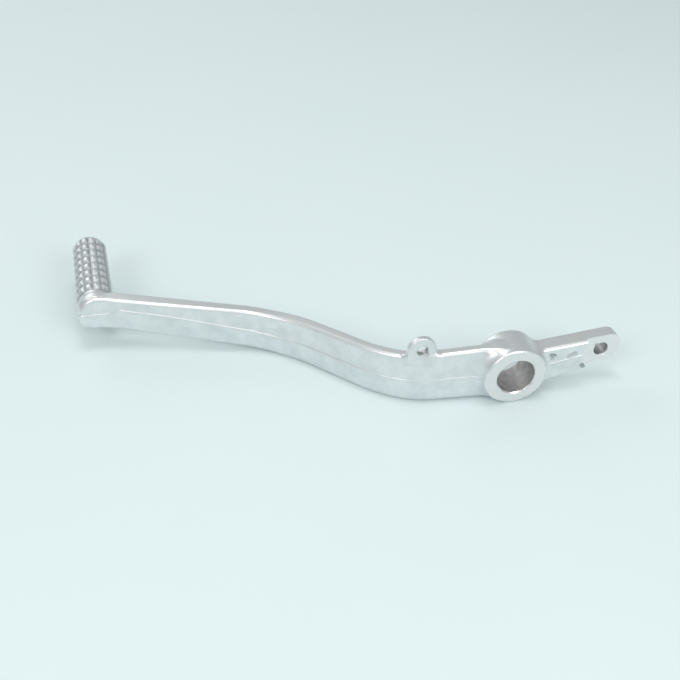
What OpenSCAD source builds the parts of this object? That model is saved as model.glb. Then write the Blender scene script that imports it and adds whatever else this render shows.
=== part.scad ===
// Rear brake pedal of a motorbike, cast in one piece of aluminium alloy.
// Millimetres. The origin is the middle of the pivot bore, with +Y along the bore towards
// the outside of the bike, the toe end at -X, the pushrod tongue at +X and +Z up.
// The pattern parts on a sheet along the arm, so both flanks lean back from a ridge.

/* [Pivot hub] */
// Diameter of the pivot bore
bore_d = 17; // [12:0.5:20]
// Outside diameter of the hub
hub_d = 28; // [25:0.5:36]
// Length of the hub along the bore
hub_len = 16; // [14:0.5:26]
// Rounding of the hub rims
rim_round = 1; // [0.4:0.1:1.6]
// Chamfer at both mouths of the bore
bore_chamfer = 0.5; // [0.2:0.1:1]

/* [Front arm] */
// Distance from the pivot to the middle of the toe peg, along X
toe_reach = 174; // [150:1:210]
// Distance from the pivot to the start of the outward jog
jog_start = 50.5; // [42:0.5:60]
// Distance from the pivot to the end of the outward jog
jog_end = 95; // [84:0.5:106]
// Sideways offset gained in the jog
jog_offset = 49; // [30:0.5:60]
// Sideways offset gained between the pivot and the jog
root_splay = 6.4; // [0:0.2:9]
// Sideways offset gained between the jog and the toe peg
toe_splay = 21; // [10:0.5:30]
// Length over which the arm turns square to the peg, on each side of its corner
toe_square = 5; // [3:0.5:8]
// Half length of the soft bend at each end of the jog
jog_blend = 15.2; // [8:0.2:18]
// How far the front ridge lies behind the inner hub face
front_inset = 2.9; // [2:0.1:5]
// Height of the arm at the pivot
arm_h_root = 27; // [22:0.5:27.5]
// Height of the arm at the toe
arm_h_toe = 16.4; // [13:0.2:20]
// Thickness of the arm at the ridge near the pivot
arm_t_root = 7; // [5:0.1:8]
// Thickness of the arm at the ridge near the toe peg
arm_t_toe = 8; // [6:0.1:10]
// Lean of both flanks away from the ridge, in degrees
flank_draft = 5; // [2:0.5:7]
// Rounding along the edges of the arm
edge_round = 1.6; // [0.8:0.1:2]
// Distance from the pivot at which the underside starts to rise
rise_start = 96; // [88:1:110]
// Height that the underside gains from there to the toe peg
toe_rise = 11; // [6:0.5:18]
// How far the underside lies above the bottom of the hub at the pivot
root_lift = 1; // [0.5:0.1:3]
// How far the ridge runs above mid-height before the toe
ridge_lift = 3; // [0:0.2:4]
// Concave blend from the arm into the hub
hub_blend = 8; // [4:0.5:9]
// Rounding of the arm's end round the peg's near end, seen from above
toe_corner = 3; // [2:0.2:5]

/* [Toe peg] */
// Diameter of the toe peg over its studs
peg_d = 16.8; // [14:0.2:20]
// Draft of the peg, which is thicker at its foot
peg_draft = 0.5; // [0:0.1:1.5]
// How far the peg leans forwards
peg_lean = 1.6; // [0:0.1:4]
// Distance from the hub's middle to the peg tip, along Y
peg_tip = 129.5; // [115:0.5:145]
// Height of one stud
stud_h = 0.9; // [0.6:0.1:1.5]
// Rows of studs along the peg
stud_rows = 8; // [5:1:12]
// Studs round each half of the peg
studs_half = 6; // [4:1:8]
// Width of the smooth strip on each side of the peg where the mould parts
strip_w = 1.4; // [0.8:0.1:2.4]
// Plain length between the arm and the first row
peg_plain = 1.5; // [0.5:0.5:4]
// Share of a stud's base that its flat top takes
stud_top = 0.3; // [0.15:0.05:0.5]

/* [Spring lug] */
// Diameter of the hole for the spring
lug_hole_d = 4.5; // [3:0.1:6]
// Distance from the pivot to the lug hole, along X
lug_x = 40; // [34:0.5:46]
// Height of the lug hole above the top of the arm
lug_rise = 3.3; // [2.4:0.1:5]
// Width of metal round the lug hole
lug_wall = 4; // [2.5:0.1:5]
// Thickness of the lug
lug_t = 2.8; // [2:0.1:4]
// Fillet at the foot of the lug
lug_fillet = 2; // [0.8:0.1:3]

/* [Pushrod tongue] */
// Diameter of the hole for the 6 mm clevis pin
clevis_d = 6.2; // [5:0.1:8]
// Distance from the pivot to the clevis hole, along X
clevis_x = 41.5; // [36:0.1:50]
// Height of the clevis hole above the pivot
clevis_z = 3.4; // [0:0.1:5]
// Distance from the clevis hole to the end of the tongue
tongue_end = 8.9; // [7:0.1:11]
// Height of the tongue at the clevis hole
tongue_h = 14.2; // [12:0.1:16]
// Height of the rear arm where it leaves the pivot
rear_h_root = 20.6; // [16:0.2:23]
// Thickness of the rear arm at the ridge
rear_t = 9.9; // [8:0.1:11]
// How far the ridge of the rear arm lies behind the inner hub face
rear_inset = 4; // [2:0.1:5]
// Thickness of the tongue after milling
tongue_t = 7.2; // [5:0.1:8]
// Radius of the cutter that milled the tongue
cutter_r = 14; // [10:0.5:20]
// Distance from the clevis hole to the start of the milled face
mill_start = 9.2; // [7:0.1:11]
// Radius of the tongue's corners
tongue_corner = 6; // [3:0.5:6]

/* [Hidden] */
$fn = 96;
CAST_ALLOY = [0.78, 0.79, 0.80];

hub_r = hub_d / 2;
inner_face = -hub_len / 2;
arm_front = inner_face + front_inset;
peg_r = peg_d / 2;
// The arm ends in a half round about the peg's axis, this much larger than the peg's root
toe_collar = 0.2;
toe_r = arm_h_toe / 2;
toe_end = toe_reach + toe_r;
// Exponent of the toe's lower outline, which is squarer than a round
end_square = 5;
square_from = toe_reach - toe_square;
edge_steps = 4;
lean = tan(flank_draft);
// Two rounds of one edge take at most this share of the thickness each
round_share = 0.45;
// The blend into the hub begins this far inside the hub's outline
blend_lap = 2;
blend_end = hub_r + hub_blend - blend_lap;
// Depth to which a lug or a peg is sunk into the arm
sunk = 3;
// Length that a cutter stands out past the metal
past = 1;
// Both arms begin this far from the pivot's axis, in the hub
buried = hub_r / 3;
// The fillet on the outer side stands out by this share of the one on the inner side
outer_share = 0.5;

// Slopes of the front ridge in plan, before, along and after the jog
slope_root = root_splay / jog_start;
slope_jog = jog_offset / (jog_end - jog_start);
slope_toe = toe_splay / (square_from - jog_end);
// Slopes of the underside, seen from the side
rise_blend = 8;
root_fall_end = 60;
root_fall = root_lift / root_fall_end;
rise_slope = toe_rise / (toe_reach - rise_start);
// The ridge climbs over this stretch, and comes down to the peg's middle over this one
ridge_climb = 55;
ridge_drop = 12;

// 0 before a, 1 after b, with a soft S between
function soft_step(v, a, b) =
    let (s = max(0, min(1, (v - a) / (b - a))))
    s * s * (3 - 2 * s);
// 0 before the corner, v - corner after it, with a parabola of half length soft between
function soft_ramp(v, corner, soft) =
    v <= corner - soft ? 0 :
    v >= corner + soft ? v - corner :
    pow(v - corner + soft, 2) / (4 * soft);
// Depth of a round of radius r at the distance d into it
function round_depth(d, r) = d <= 0 ? 0 : r - sqrt(max(0, r * r - pow(min(d, r), 2)));
// Evenly spaced values from a to b
function steps(a, b, n) = [for (i = [0 : n]) a + (b - a) * i / n];

// The front arm at the distance u from the pivot, measured towards the toe
function ridge_y(u) =
    arm_front + slope_root * u
    + (slope_jog - slope_root) * soft_ramp(u, jog_start, jog_blend)
    + (slope_toe - slope_jog) * soft_ramp(u, jog_end, jog_blend)
    - slope_toe * soft_ramp(u, square_from, toe_square);
function ridge_heading(u) = atan2(ridge_y(u + 0.5) - ridge_y(u - 0.5), 1);
function arm_low(u) =
    -hub_r + root_fall * soft_ramp(root_fall_end - u, 0, rise_blend)
    + rise_slope * soft_ramp(u, rise_start, rise_blend);
function arm_h(u) = arm_h_root + (arm_h_toe - arm_h_root) * u / toe_reach;
function arm_top(u) = arm_low(u) + arm_h(u);
peg_z = arm_top(toe_reach) - toe_r;
// Half height of the toe's end past the peg's axis: round above, squarer below
function end_top(u) = toe_r * sqrt(max(0, 1 - pow(u / toe_r, 2)));
function end_low(u) = toe_r * pow(max(0, 1 - pow(u / toe_r, end_square)), 1 / end_square);
function ridge_z(u) =
    let (
        mid = arm_low(u) + arm_h(u) / 2,
        lifted = mid + ridge_lift * soft_step(u, jog_end, jog_end + ridge_climb)
    )
    lifted + (peg_z - lifted) * soft_step(u, toe_reach - ridge_drop, square_from);
function arm_t(u) = arm_t_root + (arm_t_toe - arm_t_root) * u / toe_reach;
// How far the arm's flank stands out in the fillet round the hub, up to the hub's rim
function hub_fillet(u, z) =
    min(round_depth(blend_end - norm([u, z]), hub_blend), ridge_y(u) - inner_face - rim_round / 2);
function toe_round(u) = round_depth(u - (toe_end - toe_corner), toe_corner);

// One rounded corner of a section, from the angle a0 to the angle a1 about its centre
function corner(t, z, r, a0, a1, n = edge_steps) = [
    for (a = steps(a0, a1, n)) [t + r * cos(a), z + r * sin(a)]
];
// A section with its ridge at zr on both flanks: t runs from front to back, z up
function section(front, back, low, zr, top, r) =
    let (
        in_low = lean * (zr - low),
        in_top = lean * (top - zr),
        rr = min(r, (back - front - 2 * max(in_low, in_top)) * round_share)
    )
    concat(
        [[front, zr]],
        corner(front + in_low + rr, low + rr, rr, 180 + flank_draft, 270),
        corner(back - in_low - rr, low + rr, rr, 270, 360 - flank_draft),
        [[back, zr]],
        corner(back - in_top - rr, top - rr, rr, flank_draft, 90),
        corner(front + in_top + rr, top - rr, rr, 90, 180 - flank_draft)
    );
SECTION_N = 4 * (edge_steps + 1) + 2;

// A closed skin over a list of sections that all have n points
module skin(rings, n) {
    last = len(rings) - 1;
    points = [for (ring = rings) each ring];
    walls = [
        for (k = [0 : last - 1])
            for (i = [0 : n - 1])
                let (
                    a = k * n + i,
                    b = k * n + (i + 1) % n,
                    c = a + n,
                    d = b + n
                )
                each [[a, b, d], [a, d, c]]
    ];
    first_cap = [[for (i = [n - 1 : -1 : 0]) i]];
    last_cap = [[for (i = [0 : n - 1]) last * n + i]];
    polyhedron(points = points, faces = concat(walls, first_cap, last_cap));
}

// The front arm: one section carried along the jogged ridge line
module front_arm() {
    stations = concat(
        steps(buried, blend_end, 12),
        steps(blend_end + blend_lap, toe_reach, 36),
        [for (a = steps(10, 80, 7)) toe_reach + toe_r * sin(a)]
    );
    rings = [
        for (u = stations)
            let (
                turn = ridge_heading(u),
                past_axis = max(0, u - toe_reach),
                middle = (toe_round(u) + arm_t(u)) / 2,
                outline = section(
                    toe_round(u),
                    arm_t(u),
                    u > toe_reach ? peg_z - end_low(past_axis) : arm_low(u),
                    ridge_z(u),
                    u > toe_reach ? peg_z + end_top(past_axis) : arm_top(u),
                    edge_round
                )
            )
            [
                for (p = outline)
                    let (t = p[0] + hub_fillet(u, p[1]) * (p[0] < middle ? -1 : outer_share))
                    [-u + t * sin(turn), ridge_y(u) + t * cos(turn), p[1]]
            ]
    ];
    skin(rings, SECTION_N);
}

// The hub as a turned solid with rounded rims
module hub_body() {
    half = hub_len / 2;
    rotate([-90, 0, 0])
        rotate_extrude()
            polygon(concat(
                [[0, -half]],
                corner(hub_r - rim_round, rim_round - half, rim_round, -90, 0),
                corner(hub_r - rim_round, half - rim_round, rim_round, 0, 90),
                [[0, half]]
            ));
}

// The pivot bore with a chamfer at each mouth
module pivot_bore() {
    rotate([-90, 0, 0])
        cylinder(h = hub_len + 2, d = bore_d, center = true);
    for (side = [-1, 1])
        translate([0, side * hub_len / 2, 0])
            rotate([side * 90, 0, 0])
                translate([0, 0, -past])
                    cylinder(
                        h = bore_chamfer + past,
                        r1 = bore_d / 2 + bore_chamfer + past,
                        r2 = bore_d / 2
                    );
}

rear_front = inner_face + rear_inset;
rear_back = rear_front + rear_t;
tongue_front = rear_back - tongue_t;
rear_tip = clevis_x + tongue_end;
// Height of the rear arm's middle below the pivot, and of the tongue's above the clevis hole
rear_drop = 2.3;
tongue_lift = 0.1;
// Height of the rear arm's ridge above its middle
rear_ridge = 1.2;
// The rear arm at the distance v from the pivot, measured towards the tongue
function rear_h(v) = rear_h_root + (tongue_h - rear_h_root) * v / clevis_x;
function rear_mid(v) = -rear_drop + (clevis_z + tongue_lift + rear_drop) * v / clevis_x;

// The rear arm: a tapered section, cut to the round end of the tongue
module rear_arm() {
    rings = [
        for (v = steps(rear_tip + past, buried, 8))
            [for (p = section(
                rear_front, rear_back,
                rear_mid(v) - rear_h(v) / 2, rear_mid(v) + rear_ridge,
                rear_mid(v) + rear_h(v) / 2, edge_round
            )) [v, p[0], p[1]]]
    ];
    intersection() {
        skin(rings, SECTION_N);
        translate([0, rear_back + past, 0])
            rotate([90, 0, 0])
                linear_extrude(height = rear_t + 2 * past)
                    tongue_outline();
    }
}

// The side view of the tongue's end, with two round corners
module tongue_outline() {
    top = rear_mid(rear_tip) + rear_h(rear_tip) / 2 + past / 2;
    low = rear_mid(rear_tip) - rear_h(rear_tip) / 2 - past / 2;
    middle = rear_tip - tongue_corner;
    polygon(concat(
        [[-past, hub_r], [-past, -hub_r], [hub_r, -hub_r]],
        corner(middle, low + tongue_corner, tongue_corner, -80, 0, 2 * edge_steps),
        corner(middle, top - tongue_corner, tongue_corner, 0, 80, 2 * edge_steps),
        [[hub_r, hub_r]]
    ));
}

// The recess that the cutter leaves on the inner side of the tongue
module milled_face() {
    translate([clevis_x - mill_start + cutter_r, tongue_front, clevis_z])
        rotate([90, 0, 0])
            cylinder(h = rear_t, r = cutter_r);
}

// The hole for the clevis pin
module clevis_hole() {
    translate([clevis_x, rear_back + past, clevis_z])
        rotate([90, 0, 0])
            cylinder(h = rear_t + 2 * past, d = clevis_d);
}

lug_r = lug_hole_d / 2 + lug_wall;
lug_front = ridge_y(lug_x) + lean * (arm_top(lug_x) - ridge_z(lug_x));
lug_z = arm_top(lug_x) + lug_rise;

// The spring lug: a round ear on the top of the arm, filleted into it
module spring_lug() {
    foot = -lug_rise;
    translate([-lug_x, lug_front + lug_t, lug_z])
        rotate([90, 0, 0])
            linear_extrude(height = lug_t)
                difference() {
                    union() {
                        circle(r = lug_r);
                        translate([-lug_r - lug_fillet, foot - sunk])
                            square([2 * (lug_r + lug_fillet), lug_fillet + sunk]);
                        translate([-lug_r, foot - sunk])
                            square([2 * lug_r, lug_rise + sunk]);
                    }
                    for (side = [-1, 1])
                        translate([side * (lug_r + lug_fillet), foot + lug_fillet])
                            circle(r = lug_fillet, $fn = 32);
                }
}

// The hole for the spring's end
module lug_hole() {
    translate([-lug_x, lug_front + lug_t + past, lug_z])
        rotate([90, 0, 0])
            cylinder(h = lug_t + 2 * past, d = lug_hole_d);
}

arm_back_at_toe = ridge_y(toe_reach) + arm_t_toe;
// The peg begins inside the arm, behind its rounded outer corner
corner_gap = 0.7;
peg_foot = ridge_y(toe_reach) + toe_corner + corner_gap;
stud_from = arm_back_at_toe + peg_plain;
tip_plain = 0.8;
stud_to = peg_tip - tip_plain;
strip_half = asin(strip_w / 2 / peg_r);
stud_base_r = peg_r - stud_h;

// Angles at which the rows of studs begin and end, from one strip to the other and back
stud_edges = concat(
    [for (i = [0 : studs_half]) strip_half + (180 - 2 * strip_half) * i / studs_half],
    [for (i = [0 : studs_half]) 180 + strip_half + (180 - 2 * strip_half) * i / studs_half]
);
EDGE_N = len(stud_edges);

// A point of the drafted, leaning peg: r is its radius as it would be at the tip
function peg_point(r, a, y) =
    let (rr = r + tan(peg_draft) * (peg_tip - y))
    [-toe_reach - tan(peg_lean) * (y - stud_from) + rr * cos(a), y, peg_z + rr * sin(a)];

// The toe peg: a drafted round bar with a field of flat-topped pyramids on it
module toe_peg() {
    pitch = (stud_to - stud_from) / stud_rows;
    shrink = (1 - stud_top) / 2;
    ys = concat([peg_foot], [for (k = [0 : stud_rows]) stud_from + pitch * k], [peg_tip]);
    last = len(ys) - 1;
    base = [
        for (k = [0 : last])
            for (a = stud_edges)
                peg_point(k == last ? stud_base_r - tip_plain / 2 : stud_base_r, a, ys[k])
    ];
    tops = [
        for (k = [1 : stud_rows])
            for (i = [0 : EDGE_N - 1])
                let (
                    a0 = stud_edges[i],
                    a1 = i == EDGE_N - 1 ? 360 + stud_edges[0] : stud_edges[i + 1],
                    s = shrink * (a1 - a0)
                )
                each [
                    peg_point(peg_r, a0 + s, ys[k] + shrink * pitch),
                    peg_point(peg_r, a1 - s, ys[k] + shrink * pitch),
                    peg_point(peg_r, a1 - s, ys[k + 1] - shrink * pitch),
                    peg_point(peg_r, a0 + s, ys[k + 1] - shrink * pitch)
                ]
    ];
    base_n = len(base);
    sides = [
        for (k = [0 : last - 1])
            for (i = [0 : EDGE_N - 1])
                let (
                    j = (i + 1) % EDGE_N,
                    q = [k * EDGE_N + i, k * EDGE_N + j, (k + 1) * EDGE_N + j, (k + 1) * EDGE_N + i],
                    studded = k >= 1 && k <= stud_rows && (i + 1) % (studs_half + 1) != 0,
                    t = base_n + ((k - 1) * EDGE_N + i) * 4
                )
                each studded ?
                    [
                        [q[0], q[1], t + 1], [q[0], t + 1, t],
                        [q[1], q[2], t + 2], [q[1], t + 2, t + 1],
                        [q[2], q[3], t + 3], [q[2], t + 3, t + 2],
                        [q[3], q[0], t], [q[3], t, t + 3],
                        [t, t + 1, t + 2], [t, t + 2, t + 3]
                    ] :
                    [[q[0], q[1], q[2]], [q[0], q[2], q[3]]]
    ];
    near_cap = [[for (i = [EDGE_N - 1 : -1 : 0]) i]];
    far_cap = [[for (i = [0 : EDGE_N - 1]) last * EDGE_N + i]];
    polyhedron(points = concat(base, tops), faces = concat(sides, near_cap, far_cap));
}

// The smooth round boss from which the peg leaves the arm
module peg_root() {
    translate([-toe_reach, stud_from, peg_z])
        rotate([90, 0, 0])
            cylinder(h = stud_from - peg_foot, r = toe_r - toe_collar);
}

module brake_pedal() {
    color(CAST_ALLOY)
        difference() {
            union() {
                hub_body();
                front_arm();
                rear_arm();
                spring_lug();
                peg_root();
                toe_peg();
            }
            pivot_bore();
            milled_face();
            clevis_hole();
            lug_hole();
        }
}

brake_pedal();
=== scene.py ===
"""Rear brake pedal of a motorbike, one aluminium casting, lying on a pale studio table.

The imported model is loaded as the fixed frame. Its one node is replaced by a finer surface of
the same form, with blended roots, a parting line, machined faces and crisp studs. Sizes are in
millimetres in the part's own frame (origin in the middle of the pivot bore, +Y along the bore
towards the outside of the bike, toe peg at -X, +Z up), and meshes are stored in metres.
"""

from __future__ import annotations

import logging
import math
from collections.abc import Callable
from dataclasses import dataclass, field
from enum import Enum

import bpy
import numpy as np
from numpy.typing import NDArray
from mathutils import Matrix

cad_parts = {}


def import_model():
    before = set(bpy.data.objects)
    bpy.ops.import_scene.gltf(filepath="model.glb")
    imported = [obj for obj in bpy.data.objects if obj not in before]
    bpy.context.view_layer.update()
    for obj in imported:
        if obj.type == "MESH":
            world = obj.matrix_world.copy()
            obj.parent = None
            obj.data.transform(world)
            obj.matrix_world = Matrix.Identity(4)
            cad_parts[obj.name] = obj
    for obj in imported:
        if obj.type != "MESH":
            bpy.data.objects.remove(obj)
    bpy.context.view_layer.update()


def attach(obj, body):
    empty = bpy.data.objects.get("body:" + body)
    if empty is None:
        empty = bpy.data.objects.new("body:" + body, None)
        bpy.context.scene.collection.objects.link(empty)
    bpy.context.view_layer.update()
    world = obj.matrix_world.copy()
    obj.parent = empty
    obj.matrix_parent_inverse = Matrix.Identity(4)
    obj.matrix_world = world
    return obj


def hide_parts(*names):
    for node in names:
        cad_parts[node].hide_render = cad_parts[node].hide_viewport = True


Array = NDArray[np.float64]
Indices = NDArray[np.int64]
Point = tuple[float, float, float]
LOG = logging.getLogger("brake_pedal")
MM = 0.001
# The least length that is divided by, so that nothing is divided by 0.
TINY = 1e-9
# How far a hole's plug stands out past the faces, and the chamfer of the small holes.
PLUG_REACH = 1.0
MOUTH_CHAMFER = 0.3
ALONG_X, ALONG_Y, ALONG_Z = np.eye(3)


class Zone(Enum):
    """Surface of the casting, and the material slot that its faces take."""

    CAST = 0
    TURNED = 1
    BORE = 2
    MILLED = 3
    DRILLED = 4


def lean_of(angle: float) -> float:
    """How far a face that leans by an angle in degrees goes back in each millimetre."""
    return math.tan(math.radians(angle))


def soft_step(value: Array, start: float, end: float) -> Array:
    """0 before start, 1 after end, and the cubic 3s^2 - 2s^3 of the share s between them."""
    share = np.clip((value - start) / (end - start), 0.0, 1.0)
    return share * share * (3.0 - 2.0 * share)


def soft_ramp(value: Array, corner: float, soft: float) -> Array:
    """A ramp of slope 1 that starts at a corner, eased by a parabola.

    Args:
        value: Where the ramp is wanted.
        corner: Where the two straight pieces would meet.
        soft: Half length of the parabola that joins them.

    Returns:
        0 before the parabola, value - corner after it, (value - corner + soft)^2 / 4 soft in it.
    """
    eased = (value - corner + soft) ** 2 / (4.0 * soft)
    after = np.where(value >= corner + soft, value - corner, eased)
    return np.where(value <= corner - soft, 0.0, after)


def round_depth(distance: Array, radius: float) -> Array:
    """Depth r - sqrt(r^2 - d^2) of a round of that radius, at the distance d into it."""
    inside = np.clip(distance, 0.0, radius)
    return radius - np.sqrt(radius * radius - inside * inside)


def rounded_meet(first: Array, second: Array, radius: Array | float) -> Array:
    """Signed distance to what lies in both shapes, with their common edge rounded.

    Both distances are moved out by the radius, their corner is measured as a circle, and the
    radius is taken off again: |max(a + r, 0), max(b + r, 0)| + min(max(a, b) + r, 0) - r.

    Args:
        first: Signed distance to the first shape.
        second: Signed distance to the second shape.
        radius: Radius of the rounded edge.

    Returns:
        The signed distance to the common part.
    """
    a = first + radius
    b = second + radius
    outside = np.hypot(np.maximum(a, 0.0), np.maximum(b, 0.0))
    return outside + np.minimum(np.maximum(a, b), 0.0) - radius


def filleted_join(first: Array, second: Array, reach: Array | float) -> Array:
    """Signed distance to both shapes together, with a fillet where they meet.

    It is min(a, b) less reach * h^2 / 4, where h = 1 - |a - b| / reach, and at least 0.

    Args:
        first: Signed distance to the first shape.
        second: Signed distance to the second shape.
        reach: Difference in distance at which the fillet ends, more than 0.

    Returns:
        The signed distance to the joined shape.
    """
    share = np.maximum(1.0 - np.abs(first - second) / reach, 0.0)
    return np.minimum(first, second) - 0.25 * reach * share * share


@dataclass
class Surface:
    """A mesh as arrays: its corner points in millimetres, and its faces of four corners."""

    points: Array
    quads: Indices

    def to_mesh(self, name: str) -> bpy.types.Mesh:
        """Writes the surface, in metres, to a new mesh of that name.

        Args:
            name: Name of the new mesh.

        Returns:
            The mesh.
        """
        mesh = bpy.data.meshes.new(name)
        mesh.from_pydata((self.points * MM).tolist(), [], self.quads.tolist())
        mesh.validate()
        return mesh

    def joined(self, other: Surface) -> Surface:
        """This surface and another one as two shells of one surface."""
        return Surface(
            np.concatenate([self.points, other.points]),
            np.concatenate([self.quads, other.quads + len(self.points)]),
        )


def closed_grid(rings: Array) -> Surface:
    """Closes a grid of rings into a shell, with both ends drawn in to their middles.

    Args:
        rings: Points of shape (rings, points per ring, 3), each ring going round the shape.

    Returns:
        The closed surface, with a quad for each cell of the grid and thin ones at the ends.
    """
    first = np.broadcast_to(rings[:1].mean(axis=1, keepdims=True), rings[:1].shape)
    last = np.broadcast_to(rings[-1:].mean(axis=1, keepdims=True), rings[-1:].shape)
    grid = np.concatenate([first, rings, last])
    count, around = grid.shape[:2]
    index = np.arange(count * around).reshape(count, around)
    following = np.roll(index, -1, axis=1)
    quads = np.stack([index[:-1], following[:-1], following[1:], index[1:]], axis=-1)
    return Surface(grid.reshape(-1, 3), quads.reshape(-1, 4))


def rows_of(x: Array | float, y: Array | float, z: Array | float) -> Array:
    """Rows of X, Y and Z from three arrays, or from numbers that hold for every row."""
    return np.stack(np.broadcast_arrays(x, y, z), axis=-1)


def rings_round(centre: Array, across: Array, radius: Array, angle: Array) -> Surface:
    """Builds a shell of rings round a line: c + r (across cos a - up sin a), with up along +Z.

    Args:
        centre: Rows of X, Y and Z along the line.
        across: Level unit direction of the angle 0, for the whole line or for each row.
        radius: A row for each ring, of one radius or of one for each point.
        angle: Angle of each point round its ring.

    Returns:
        The closed surface.
    """
    way = across[..., None, :] * np.cos(angle)[:, None] - ALONG_Z * np.sin(angle)[:, None]
    return closed_grid(centre[:, None, :] + radius[..., None] * way)


def turned_about_y(profile: Array, centre: tuple[float, float], steps: int) -> Surface:
    """Turns a profile about an axis along Y.

    Args:
        profile: Rows of (radius, y), from low y to high y.
        centre: Where the axis stands, as (x, z).
        steps: Steps round the axis.

    Returns:
        The closed surface (x0 + r cos a, y, z0 - r sin a), with its faces outwards.
    """
    angle = np.linspace(0.0, math.tau, steps, endpoint=False)
    line = rows_of(centre[0], profile[:, 1], centre[1])
    return rings_round(line, ALONG_X, profile[:, :1], angle)


def chamfered_plug(
    radius: float,
    chamfer: float,
    faces: tuple[float, float],
    centre: tuple[float, float],
    steps: int,
) -> Surface:
    """Makes the plug that cuts a hole along Y, with a chamfer at both of its mouths.

    Args:
        radius: Radius of the hole.
        chamfer: Width and depth of the chamfers.
        faces: Y of the two faces that the hole goes through, the lower one first.
        centre: Where the hole's axis stands, as (x, z).
        steps: Steps round the axis.

    Returns:
        The closed surface, with each chamfer carried on past its face.
    """
    low, high = faces
    wide = radius + chamfer
    profile = [
        [wide + PLUG_REACH, low - PLUG_REACH],
        [wide, low],
        [radius, low + chamfer],
        [radius, high - chamfer],
        [wide, high],
        [wide + PLUG_REACH, high + PLUG_REACH],
    ]
    return turned_about_y(np.array(profile), centre, steps)


@dataclass(frozen=True)
class Hub:
    """The turned pivot hub, with its rims rounded and its bore chamfered at both mouths."""

    bore_d: float = 17.0
    diameter: float = 28.0
    length: float = 16.0
    rim_round: float = 1.0
    bore_chamfer: float = 0.5
    bore_steps: int = 192

    @property
    def radius(self) -> float:
        """Outside radius of the hub."""
        return self.diameter / 2.0

    @property
    def half(self) -> float:
        """Half the hub's length."""
        return self.length / 2.0

    @property
    def inner_face(self) -> float:
        """Y of the face on the bike's side."""
        return -self.half

    def distance(self, x: Array, y: Array, z: Array) -> Array:
        """Signed distance to the plain barrel: rounded meeting of a round bar and a slab."""
        return rounded_meet(np.hypot(x, z) - self.radius, np.abs(y) - self.half, self.rim_round)

    def bore_cutter(self) -> Surface:
        """The bore and its two chamfers, as a turned plug that stands out past both faces.

        Returns:
            The closed plug.
        """
        faces = (-self.half, self.half)
        return chamfered_plug(
            self.bore_d / 2.0, self.bore_chamfer, faces, (0.0, 0.0), self.bore_steps
        )


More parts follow.
